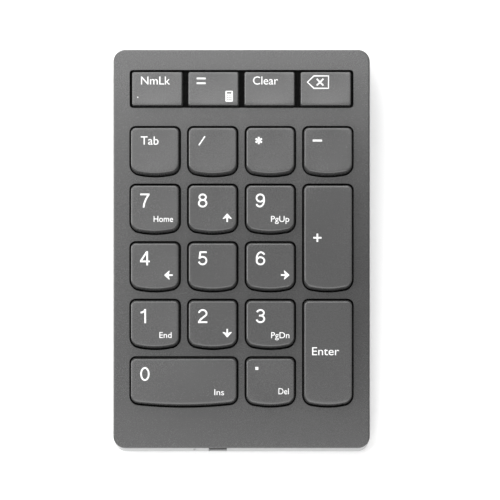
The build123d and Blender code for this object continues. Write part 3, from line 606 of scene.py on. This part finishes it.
inside = Vector((CASE_WALL, CASE_WALL, 0))
hollow = rounded_block(
    Vector((deck_low.x, deck_low.y, HOLLOW_LOW)) + inside,
    Vector((deck_high.x, deck_high.y, -DECK_PLATE)) - inside,
    DECK_CORNER - CASE_WALL,
    DECK_CORNER - CASE_WALL,
)
deck = cut_and_soften(
    add_mesh(slab, "slab"),
    [add_mesh(wells, "wells"), add_mesh(hollow, "hollow")],
    width=WELL_ROUND,
    segments=3,
)
flat = [f for f in deck.faces if f.normal.z > 0.9999 and f.calc_center_median().z > -0.01]
bmesh.ops.inset_region(
    deck, faces=flat, thickness=FLAT_INSET, use_even_offset=True, use_boundary=True
)
top_cover = finish_mesh(
    deck, "top_cover_shell", "case", deck_paint, replaces=["top_cover"], angle=30
)
print("deck faces", len(top_cover.data.polygons))

# %% [markdown]
# A cap is a thin tray turned upside down. The block's rim is bevelled, the whole shape is sliced
# into a fine grid, and the bottom face is inset and pushed up to make the hollow; the faces that it
# started from are deleted, or they would close the tray. Every vertex is then moved by a few plain
# sums: the front skirt leans back with a slight swell, the sides and rear lean in a little, the
# front edge bows, and the face sinks by a tenth of a millimetre in its middle so that a fingertip
# finds it.

# %% The caps
SIDE_DRAFT = 0.18
REAR_DRAFT = 0.31
FRONT_DRAFT = 0.98
FUNCTION_DRAFT = 0.25
CAP_ROUND = 0.42
DISH = 0.10
CAP_CORNERS = (1.6, 2.2)  # at the rear and at the front
FUNCTION_CORNERS = (0.6, 0.6)
FACE_GRID = 1.0
SKIRT_GRID = 0.45
WALL = 1.0
ROOF_UNDER = 0.85
SKIRT_SWELL = 1.5


def make_cap(key):
    """One cap, hollow below, on the level sheet."""
    bm = rounded_block(key.low, key.high, *(FUNCTION_CORNERS if key.function else CAP_CORNERS))
    face = max(bm.faces, key=lambda f: f.calc_center_median().z)
    bmesh.ops.bevel(
        bm, geom=face.edges[:], offset=CAP_ROUND, segments=6, profile=0.5, affect="EDGES"
    )
    slice_across(bm, 0, steps_between(key.low.x, key.high.x, FACE_GRID))
    slice_across(bm, 1, steps_between(key.low.y, key.high.y, FACE_GRID))
    slice_across(bm, 2, steps_between(key.low.z, key.high.z - CAP_ROUND, SKIRT_GRID))
    under = [f for f in bm.faces if f.calc_center_median().z < key.low.z + 1e-4]
    bmesh.ops.inset_region(bm, faces=under, thickness=WALL, use_even_offset=True)
    raised = bmesh.ops.extrude_face_region(bm, geom=under)
    lifted = [v for v in raised["geom"] if isinstance(v, bmesh.types.BMVert)]
    bmesh.ops.translate(bm, vec=(0, 0, ROOF_UNDER - key.low.z), verts=lifted)
    bmesh.ops.delete(bm, geom=under, context="FACES")
    side = FUNCTION_DRAFT if key.function else SIDE_DRAFT
    rear = FUNCTION_DRAFT if key.function else REAR_DRAFT
    front = FUNCTION_DRAFT if key.function else FRONT_DRAFT
    for vert in bm.verts:
        rise = max(0.0, (vert.co.z - key.low.z) / (key.high.z - key.low.z))
        across = (vert.co.x - key.middle.x) / key.half.x
        along = (vert.co.y - key.middle.y) / key.half.y
        lean_in = rise**SKIRT_SWELL
        towards_front = (1 - along) / 2
        bowed = key.bow_at(vert.co.x) * towards_front**2
        vert.co.x -= across * side * rise
        vert.co.y += bowed + towards_front * front * lean_in - (1 - towards_front) * rear * rise
        if rise > 0.999:
            vert.co.z -= DISH * (1 - across**2) * (1 - along**2)
    return bm


CAPS = {}
for key in KEYS:
    CAPS[key.name] = finish_mesh(
        make_cap(key),
        "cap_" + key.name,
        "key_" + key.name,
        cap_paint,
        replaces=[key.node],
    )
print("cap faces", {name: len(CAPS[name].data.polygons) for name in ("7", "0")})

# %% [markdown]
# The caps are printed in white ink. The figures are drawn as strokes of one width, which is how
# signs for keys are usually drawn: a few arcs and straight lines each. A curve with a round bevel
# gives every stroke its even width and flat ends, and the result is then pressed flat onto the
# dished face. Its height there is found by dropping a ray onto the finished cap.

# %% Strokes for the ten figures
FIGURE_STROKE = 0.56
INK = 0.03  # the print's thickness, half of it sunk in the cap


def arc(middle, radii, start, end, count=20):
    """Points along part of an ellipse, angles in degrees, anticlockwise from the right."""
    points = []
    for n in range(count + 1):
        angle = math.radians(start + (end - start) * n / count)
        across = radii[0] * math.cos(angle)
        points.append((middle[0] + across, middle[1] + radii[1] * math.sin(angle)))
    return points


FIGURES = {
    "0": [arc((1.6, 2.33), (1.26, 2.0), 0, 360, 40)],
    "1": [[(1.72, 0), (1.72, 4.65)], arc((0.2, 4.62), (1.45, 1.12), 270, 350)],
    "2": [
        [*arc((1.62, 3.2), (1.26, 1.13), 172, -32), (0.95, 1.25), (0.52, 0.72), (0.4, 0.2)],
        [(0.08, 0.32), (3.12, 0.32)],
    ],
    "3": [
        arc((1.6, 3.41), (1.14, 0.92), 168, -90),
        arc((1.6, 1.41), (1.26, 1.09), 90, -170),
        [(1.15, 2.49), (1.65, 2.49)],
    ],
    "4": [[(2.26, 4.48), (0.24, 1.4)], [(0.05, 1.3), (3.2, 1.3)], [(2.36, 0), (2.36, 4.65)]],
    "5": [
        [(0.72, 4.33), (2.95, 4.33)],
        [(0.86, 4.5), (0.52, 2.2)],
        arc((1.58, 1.57), (1.27, 1.25), 145, -165),
    ],
    "6": [
        arc((1.62, 1.5), (1.26, 1.18), 0, 360, 32),
        arc((1.78, 2.22), (1.42, 2.1), 190, 38),
    ],
    "7": [[(0.1, 4.33), (3.12, 4.33)], [(2.86, 4.25), (1.95, 2.75), (1.4, 1.35), (1.18, 0)]],
    "8": [
        arc((1.6, 3.42), (1.08, 0.91), 0, 360, 32),
        arc((1.6, 1.41), (1.26, 1.1), 0, 360, 32),
    ],
    "9": [
        arc((1.54, 3.15), (1.22, 1.18), 0, 360, 32),
        arc((1.38, 2.43), (1.42, 2.1), 10, -142),
    ],
}


def mesh_of(curve, name):
    """A curve's mesh as a bmesh; the curve is thrown away."""
    holder = bpy.data.objects.new(name, curve)
    bpy.context.scene.collection.objects.link(holder)
    bpy.context.view_layer.update()
    depsgraph = bpy.context.evaluated_depsgraph_get()
    mesh = bpy.data.meshes.new_from_object(holder.evaluated_get(depsgraph))
    bm = bmesh.new()
    bm.from_mesh(mesh)
    bpy.data.objects.remove(holder)
    bpy.data.curves.remove(curve)
    bpy.data.meshes.remove(mesh)
    return bm


def strokes(paths, width, move=(0, 0)):
    """Flat strokes of one width. A path that ends where it began is closed."""
    curve = bpy.data.curves.new("strokes", "CURVE")
    curve.dimensions = "3D"
    curve.bevel_depth = width / 2
    curve.bevel_resolution = 2
    curve.use_fill_caps = True
    for path in paths:
        closed = math.dist(path[0], path[-1]) < 1e-6
        points = path[:-1] if closed else path
        spline = curve.splines.new("POLY")
        spline.points.add(len(points) - 1)
        for point, (x, y) in zip(spline.points, points):
            point.co = (x + move[0], y + move[1], 0, 1)
        spline.use_cyclic_u = closed
    bm = mesh_of(curve, "strokes")
    bmesh.ops.scale(bm, vec=(1, 1, INK / width), verts=bm.verts)
    return bm


print("strokes", {figure: len(paths) for figure, paths in FIGURES.items()})

# %% [markdown]
# Words are set in the built-in typeface, made a mesh at once, and stretched to the width and
# height that such a word has on a key. The signs are a few strokes more: bars, a slash, a star, and
# a backspace flag with a cross in it. Arrows and the calculator are solid shapes, so they start
# from a few corners or from the same rounded block as the caps. All places are measured from the
# middle of the cap.

# %% Words and signs
CAPITAL = 0.69  # height of the typeface's capital letters at size one


def word(text, left, base, width, height):
    """A word in the built-in typeface: the first letter stands height tall on the base line."""
    curve = bpy.data.curves.new("word", "FONT")
    curve.body = text
    curve.extrude = 0.5  # to each side
    bm = mesh_of(curve, "word")
    low = min(v.co.x for v in bm.verts)
    high = max(v.co.x for v in bm.verts)
    bmesh.ops.translate(bm, vec=(-low, 0, 0), verts=bm.verts)
    bmesh.ops.scale(bm, vec=(width / (high - low), height / CAPITAL, INK), verts=bm.verts)
    bmesh.ops.translate(bm, vec=(left, base, 0), verts=bm.verts)
    return bm


def plate(low, high, corner):
    """A flat rounded rectangle of ink."""
    return rounded_block(
        Vector((*low, -INK / 2)), Vector((*high, INK / 2)), corner, corner, steps=4
    )


ARROW_HALF = [(0, 0), (1.52, -1.72), (1.3, -1.84), (0.27, -1.5), (0.25, -2.85)]
ARROW_MIDDLE = 1.4  # from its tip


def arrow(middle, turn):
    """A solid arrow head with swept wings and a short shaft, pointing to the rear, then turned."""
    bm = bmesh.new()
    outline = ARROW_HALF + [(-x, y) for x, y in reversed(ARROW_HALF[1:])]
    bm.faces.new([bm.verts.new((x, y, -INK / 2)) for x, y in outline])
    raised = bmesh.ops.extrude_face_region(bm, geom=bm.faces[:])
    top = [v for v in raised["geom"] if isinstance(v, bmesh.types.BMVert)]
    bmesh.ops.translate(bm, vec=(0, 0, INK), verts=top)
    bmesh.ops.translate(bm, vec=(0, ARROW_MIDDLE, 0), verts=bm.verts)
    bmesh.ops.rotate(bm, matrix=Matrix.Rotation(math.radians(turn), 3, "Z"), verts=bm.verts)
    bmesh.ops.translate(bm, vec=(*middle, 0), verts=bm.verts)
    return bm


def figure(text, corner=(-4.88, 0.53)):
    """A figure whose lower left corner is at corner."""
    return strokes(FIGURES[text], FIGURE_STROKE, corner)


STAR_MIDDLE = (-3.84, 3.57)
STAR_REACH = 1.22


def star_bar(degrees):
    """One bar of the star, from end to end."""
    across = STAR_REACH * math.cos(math.radians(degrees))
    along = STAR_REACH * math.sin(math.radians(degrees))
    x, y = STAR_MIDDLE
    return [(x - across, y - along), (x + across, y + along)]


STAR = [star_bar(degrees) for degrees in (30, 90, 150)]
FLAG = [(-6.06, 2.1), (-3.9, 4.14), (0.9, 4.14), (0.9, 0.06), (-3.9, 0.06), (-6.06, 2.1)]
CROSS = [[(-3.0, 3.2), (-0.8, 1.0)], [(-3.0, 1.0), (-0.8, 3.2)]]

PRINTS = {
    "num_lock": [word("NmLk", -5.33, 1.32, 9.55, 2.65)],
    "equals": [strokes([[(-5.5, 3.3), (-2.56, 3.3)], [(-5.5, 1.72), (-2.56, 1.72)]], 0.56)],
    "clear": [word("Clear", -5.45, 1.32, 8.25, 2.65)],
    "backspace": [strokes([FLAG], 0.46), strokes(CROSS, 0.5)],
    "tab": [word("Tab", -4.62, 2.22, 5.85, 2.75)],
    "divide": [strokes([[(-4.55, 1.97), (-2.5, 4.98)]], 0.42)],
    "multiply": [strokes(STAR, 0.6)],
    "minus": [strokes([[(-5.1, 3.56), (-2.02, 3.56)]], 0.66)],
    "plus": [strokes([[(-4.92, 0.1), (-2.2, 0.1)], [(-3.56, -1.26), (-3.56, 1.46)]], 0.56)],
    "7": [figure("7"), word("Home", -0.38, -4.2, 6.4, 2.0)],
    "8": [figure("8"), arrow((4.82, -2.78), 0)],
    "9": [figure("9"), word("PgUp", 0.2, -4.2, 6.0, 2.0)],
    "4": [figure("4"), arrow((4.45, -2.7), 90)],
    "5": [figure("5")],
    "6": [figure("6"), arrow((4.9, -2.65), -90)],
    "1": [figure("1"), word("End", 1.52, -4.35, 4.0, 1.95)],
    "2": [figure("2"), arrow((4.82, -2.8), 180)],
    "3": [figure("3"), word("PgDn", 0.25, -4.43, 6.0, 2.0)],
    "enter": [word("Enter", -5.3, -0.5, 8.9, 2.65)],
    "0": [figure("0", (-14.38, 0.5)), word("Ins", 10.1, -4.14, 3.2, 1.95)],
    "decimal": [strokes([[(-4.98, 4.67), (-3.98, 4.67)]], 1.0), word("Del", 2.65, -3.84, 3.4, 2.0)],
}
print("prints", len(PRINTS))

# %% [markdown]
# Ink is a touch rougher than the paint below it, and never quite even. The calculator's display
# and buttons are gaps in the ink, so they show the cap's own paint: thin chips of that paint a hair
# above the ink give the same look without cutting the print.

# %% Print the caps
ink = Finish("white_ink", Specular_IOR_Level=0.4)
ink_wear = ink.noise(0.6, 3.0)
ink.feed("Base Color", ink.mix(ink_wear, grey(0.80), grey(0.92)))
ink.feed("Roughness", (0.5 + (ink_wear - 0.5) * 0.2).limited())
ink.bump(ink.noise(0.12, 1.0), 0.006)


RAY_START = 20.0  # higher than any cap
CHIP_LIFT = 0.006
CALCULATOR = ((3.95, -4.35), (6.42, -0.78))
DISPLAY = ((4.42, -1.72), (5.95, -1.15))
BUTTON_HALF = 0.18
BUTTON_COLUMNS = (4.57, 5.18, 5.79)
BUTTON_LINES = (-2.2, -2.92, -3.64)


def lay_on_cap(key, pieces, lift=0.0):
    """Press flat pieces onto a cap's face and join them."""
    face = BVHTree.FromObject(CAPS[key.name], bpy.context.evaluated_depsgraph_get())
    down_ray = -(LEAN.to_3x3() @ Vector((0, 0, 1)))
    whole = bmesh.new()
    for piece in pieces:
        join_into(whole, piece)
    for vert in whole.verts:
        vert.co += Vector((key.middle.x, key.middle.y, 0))
        start = TO_ROW @ Vector((vert.co.x, vert.co.y, RAY_START))
        hit = face.ray_cast(start, down_ray)[0]
        vert.co.z += (TO_ROW.inverted() @ hit).z + lift
    return whole


def calculator_gaps():
    """The calculator's display and its nine buttons."""
    gaps = [plate(*DISPLAY, 0.05)]
    for x in BUTTON_COLUMNS:
        for y in BUTTON_LINES:
            low = (x - BUTTON_HALF, y - BUTTON_HALF)
            gaps.append(plate(low, (x + BUTTON_HALF, y + BUTTON_HALF), 0.05))
    return gaps


PRINTS["equals"].append(plate(*CALCULATOR, 0.3))
for key in KEYS:
    finish_mesh(
        lay_on_cap(key, PRINTS[key.name]),
        "print_" + key.name,
        "key_" + key.name,
        ink.material,
        angle=60,
    )
    if key.name == "equals":
        chips = lay_on_cap(key, calculator_gaps(), CHIP_LIFT)
        finish_mesh(chips, "print_gaps", "key_equals", cap_paint)
print("printed", len(KEYS))

# %% [markdown]
# One cap has a tiny window with a light behind it. It is a clear pin with a softened end, a hair
# proud of the paint, so the cap needs no hole.

# %% The window in the first cap
PIN_RADIUS = 0.27
PIN_ROUND = 0.08
BESIDE_PIN = ((-6.4, -2.9), (-6.3, -2.8))  # a speck of ink that finds the cap's level here

window_low, window_high = deck_box("num_lock_lens")
middle = (window_low + window_high) / 2
depth = window_high.z - window_low.z
pin = bmesh.new()
bmesh.ops.create_cone(
    pin, cap_ends=True, segments=20, radius1=PIN_RADIUS, radius2=PIN_RADIUS, depth=depth
)
rim = [e for e in pin.edges if all(v.co.z > 0 for v in e.verts)]
bmesh.ops.bevel(pin, geom=rim, offset=PIN_ROUND, segments=3, profile=0.5, affect="EDGES")
num_lock_cap = next(key for key in KEYS if key.name == "num_lock")
speck = lay_on_cap(num_lock_cap, [plate(*BESIDE_PIN, 0.01)])
level = max(v.co.z for v in speck.verts)
speck.free()
bmesh.ops.translate(pin, vec=(middle.x, middle.y, level - depth / 2), verts=pin.verts)
finish_mesh(
    pin,
    "window",
    "key_num_lock",
    FINISHES["lens_clear"],
    replaces=["num_lock_lens"],
)
print("window at", [round(x, 2) for x in middle])

# %% [markdown]
# Below each cap sits its mechanism: two crossed levers of slippery nylon that keep the cap level,
# and a rubber dome that pushes it back. When the key goes down the levers fold flatter and the dome
# buckles; here each key's levers and dome are pieces of their own, riding on the case. The shapes
# are good already, so every key's share is cut out of the model's groups.

# %% Levers and domes, one of each to a key
SHARE_MARGIN = 0.6  # around a cap, for the parts that belong to it


def share_of(node, key):
    """The part of a node's mesh that lies under one cap, on the level sheet."""
    bm = bmesh.new()
    bm.from_mesh(frame["nodes"][node].data)
    bmesh.ops.transform(bm, matrix=TO_ROW.inverted(), verts=bm.verts)
    bmesh.ops.remove_doubles(bm, verts=bm.verts, dist=1e-3)
    across = key.half.x + SHARE_MARGIN
    along = key.half.y + SHARE_MARGIN
    outside = [
        v
        for v in bm.verts
        if abs(v.co.x - key.middle.x) > across or abs(v.co.y - key.middle.y) > along
    ]
    bmesh.ops.delete(bm, geom=outside, context="VERTS")
    return bm


def mechanism_piece(group, name, key, finish):
    """One key's share of a group, as a piece of its own that rides on the case."""
    piece = finish_mesh(
        share_of(group, key), name + "_" + key.name, "case", finish, replaces=[group]
    )
    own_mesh(piece)


LEVERS = {"scissor_outer_frames": "outer_lever", "scissor_inner_frames": "inner_lever"}
for key in KEYS:
    for group, name in LEVERS.items():
        mechanism_piece(group, name, key, nylon)
    mechanism_piece("rubber_domes", "dome", key, dome_rubber)
print("mechanism pieces", 3 * len(KEYS))

# %% [markdown]
# The set is a plain pale sheet that glows a little, so that the shadow stays faint. Satin paint
# shows its lights as reflections, so they are broad soft panels: three hang face down over the pad,
# and their mirror images give the deck its gradient, brightest to the left and rear. Three more
# stand at the sides, strongest at the left, where only the caps' rims and skirts can mirror them.
# The camera looks square onto the deck from half a metre, with a lens long enough to keep the
# columns straight.

# %% Floor, lights and camera
FLOOR_HALF = 3.0  # metres
WORLD_STRENGTH = 0.2
PANEL_HEIGHT = 520.0
DECK_MIDDLE = (0, 0, 0)
CAMERA_HEIGHT = 480.0
CAMERA_AIM = (2.8, -0.33)
SENSOR_WIDTH = 36.0
LENS = 104.4

floor_mesh = bmesh.new()
bmesh.ops.create_grid(floor_mesh, x_segments=1, y_segments=1, size=FLOOR_HALF)
floor_data = bpy.data.meshes.new("floor")
floor_mesh.to_mesh(floor_data)
floor_mesh.free()
floor = bpy.data.objects.new("floor", floor_data)
bpy.context.scene.collection.objects.link(floor)
floor_finish = Finish(
    "floor_white",
    Base_Color=grey(0.9),
    Roughness=0.9,
    Emission_Color=grey(1.0),
    Emission_Strength=0.12,
)
floor_data.materials.append(floor_finish.material)

world = bpy.data.worlds.new("studio")
world.use_nodes = True
background = world.node_tree.nodes["Background"]
background.inputs["Color"].default_value = grey(1.0)
background.inputs["Strength"].default_value = WORLD_STRENGTH
bpy.context.scene.world = world
bpy.context.scene.view_settings.view_transform = "Standard"


def panel(name, middle, size, brightness, aim=None):
    """A soft panel, placed on the level sheet in millimetres: it faces down, or towards aim.

    The energy is the brightness times the area, so a larger panel looks no dimmer.
    """
    data = bpy.data.lights.new(name, "AREA")
    data.shape = "RECTANGLE"
    data.size = size[0] * MM
    data.size_y = size[1] * MM
    data.energy = brightness * math.pi * size[0] * size[1] * MM * MM
    lamp = bpy.data.objects.new(name, data)
    bpy.context.scene.collection.objects.link(lamp)
    turn = Matrix.Identity(4)
    if aim:
        towards = Vector(aim) - Vector(middle)
        turn = towards.to_track_quat("-Z", "Y").to_matrix().to_4x4()
    lamp.matrix_world = Matrix.Translation(TO_ROW @ Vector(middle)) @ LEAN @ turn


panel("rear_panel", (-60, 250, PANEL_HEIGHT), (560, 300), 2.9)
panel("left_panel", (-230, 20, PANEL_HEIGHT), (280, 220), 1.9)
panel("front_panel", (-20, -280, PANEL_HEIGHT), (560, 300), 2.0)
panel("left_side_panel", (-480, 60, 260), (420, 400), 4.2, aim=DECK_MIDDLE)
panel("rear_side_panel", (-60, 520, 260), (520, 400), 3.6, aim=DECK_MIDDLE)
panel("front_side_panel", (0, -520, 230), (620, 420), 1.8, aim=DECK_MIDDLE)

camera_data = bpy.data.cameras.new("camera")
camera_data.sensor_width = SENSOR_WIDTH
camera_data.lens = LENS
camera = bpy.data.objects.new("camera", camera_data)
bpy.context.scene.collection.objects.link(camera)
eye = TO_ROW @ Vector((*CAMERA_AIM, CAMERA_HEIGHT))
camera.matrix_world = Matrix.Translation(eye) @ LEAN
bpy.context.scene.camera = camera
print("camera", [round(x, 4) for x in camera.location])
